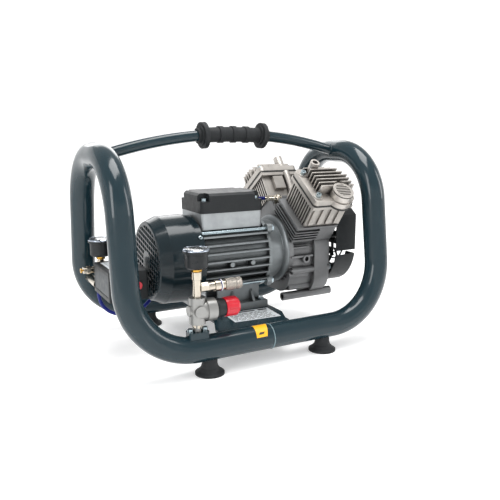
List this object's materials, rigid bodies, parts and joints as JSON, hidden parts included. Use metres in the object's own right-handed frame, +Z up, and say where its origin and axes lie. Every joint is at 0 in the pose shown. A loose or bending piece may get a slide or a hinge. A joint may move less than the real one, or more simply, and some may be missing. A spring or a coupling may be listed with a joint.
{
  "type": "air compressor",
  "caption": "Portable oil-free air compressor: tubular receiver frame with carrying bar, direct-drive finned motor, V-twin pump, pressure switch, regulator and quick coupler.",
  "frame": {"origin": "on the floor under the middle of the tubular frame", "axes": "+X along the motor shaft from the motor's fan to the pump's fan, +Y to the back, away from the regulator, +Z up"},
  "size_m": [0.614, 0.3946, 0.4704],
  "materials": {
    "frame_paint": "smooth gloss petrol blue-green powder coat",
    "cowl_paint": "smooth gloss petrol blue-green paint",
    "black_rubber": "matt black moulded rubber",
    "pump_casting": "fine sand-blasted pressure casting",
    "crankcase_casting": "satin pressure casting, darker than the heads",
    "motor_casting": "satin dark grey extruded and cast aluminium",
    "box_casting": "satin cast aluminium",
    "piston_metal": "turned",
    "forged_steel": "machined",
    "zinc_steel": "bright zinc plated",
    "nickel": "satin nickel plated brass",
    "regulator_casting": "satin zinc casting",
    "stator_core": "varnished laminations and winding",
    "black_plastic": "fine grained black moulding",
    "black_gauge": "black case with a clear window",
    "red_plastic": "gloss red moulding",
    "pointer_paint": "matt black",
    "brass": "turned brass",
    "blue_hose": "smooth blue tube"
  },
  "bodies": {
    "frame_and_castings": {"left_hoop": "frame_paint", "right_hoop": "frame_paint", "handle_bar": "frame_paint", "base_plate": "frame_paint", "handle_grip": "black_rubber", "rubber_feet": "black_rubber", "drain_plug": "zinc_steel", "motor_housing": "motor_casting", "motor_foot": "motor_casting", "drive_flange": "motor_casting", "rear_shield": "cowl_paint", "fan_cowl": "cowl_paint", "tie_rods": "zinc_steel", "wound_stator": "stator_core", "ball_bearings": "forged_steel", "terminal_box": "box_casting", "terminal_lid": "black_plastic", "cable_glands": "black_plastic", "crankcase": "crankcase_casting", "crankcase_cover": "crankcase_casting", "front_cylinder": "pump_casting", "rear_cylinder": "pump_casting", "front_head": "pump_casting", "rear_head": "pump_casting", "front_valve_plate": "forged_steel", "rear_valve_plate": "forged_steel", "intake_caps": "pump_casting", "upper_air_guide": "black_plastic", "lower_air_guide": "black_plastic", "regulator_body": "regulator_casting", "regulator_bonnet": "black_plastic", "outlet_tee": "nickel", "coupler_body": "nickel", "outlet_gauge": "black_gauge", "tank_gauge": "black_gauge", "pressure_switch": "black_plastic", "tank_manifold": "nickel", "safety_valve": "nickel", "delivery_hose": "blue_hose", "hose_fittings": "nickel", "socket_screws": "zinc_steel", "hex_bolts": "zinc_steel"},
    "crankshaft": {"motor_shaft": "forged_steel", "rotor": "forged_steel", "motor_fan": "black_plastic", "crank_drive_web": "forged_steel", "crank_fan_web": "forged_steel", "cooling_fan": "black_plastic"},
    "front_connecting_rod": {"front_rod": "piston_metal"},
    "rear_connecting_rod": {"rear_rod": "piston_metal"},
    "front_piston_body": {"front_piston": "piston_metal"},
    "rear_piston_body": {"rear_piston": "piston_metal"},
    "pressure_knob": {"regulator_knob": "red_plastic"},
    "outlet_needle": {"outlet_pointer": "pointer_paint"},
    "tank_needle": {"tank_pointer": "pointer_paint"},
    "stop_button": {"switch_button": "red_plastic"},
    "release_sleeve": {"coupler_sleeve": "nickel"},
    "relief_pull": {"safety_pull": "brass"}
  },
  "joints": [
    {"name": "crank_turn", "type": "hinge", "parent": "frame_and_castings", "child": "crankshaft", "pos_m": [0, 0, 0.192], "axis": [1, 0, 0], "continuous": true},
    {"name": "front_big_end", "type": "hinge", "parent": "crankshaft", "child": "front_connecting_rod", "pos_m": [0.172, 0, 0.201], "axis": [1, 0, 0], "continuous": true},
    {"name": "rear_big_end", "type": "hinge", "parent": "crankshaft", "child": "rear_connecting_rod", "pos_m": [0.16, 0, 0.201], "axis": [1, 0, 0], "continuous": true},
    {"name": "front_stroke", "type": "slide", "parent": "frame_and_castings", "child": "front_piston_body", "axis": [0, -0.5878, 0.809], "range_m": [-0.01628, 0.00172]},
    {"name": "rear_stroke", "type": "slide", "parent": "frame_and_castings", "child": "rear_piston_body", "axis": [0, 0.5878, 0.809], "range_m": [-0.01628, 0.00172]},
    {"name": "pressure_setting", "type": "hinge", "parent": "frame_and_castings", "child": "pressure_knob", "pos_m": [-0.085, -0.169, 0.1265], "axis": [1, 0, 0], "range_deg": [-360, 720]},
    {"name": "outlet_reading", "type": "hinge", "parent": "frame_and_castings", "child": "outlet_needle", "pos_m": [-0.154, -0.169, 0.24], "axis": [0, 0, -1], "range_deg": [0, 270], "stiffness_Nm_per_rad": 0.0002},
    {"name": "tank_reading", "type": "hinge", "parent": "frame_and_castings", "child": "tank_needle", "pos_m": [-0.262, 0.082, 0.228], "axis": [0, 0, -1], "range_deg": [0, 270], "stiffness_Nm_per_rad": 0.0002},
    {"name": "stop_press", "type": "slide", "parent": "frame_and_castings", "child": "stop_button", "axis": [0, 1, 0], "range_m": [0, 0.004], "stiffness_N_per_m": 400},
    {"name": "sleeve_pull", "type": "slide", "parent": "frame_and_castings", "child": "release_sleeve", "axis": [-1, 0, 0], "range_m": [0, 0.005], "stiffness_N_per_m": 800},
    {"name": "relief_lift", "type": "slide", "parent": "frame_and_castings", "child": "relief_pull", "axis": [-1, 0, 0], "range_m": [0, 0.004], "stiffness_N_per_m": 1500}
  ],
  "couplings": [
    {"joint": "front_big_end", "follows": "crank_turn", "ratio": -1},
    {"joint": "rear_big_end", "follows": "crank_turn", "ratio": -1}
  ]
}
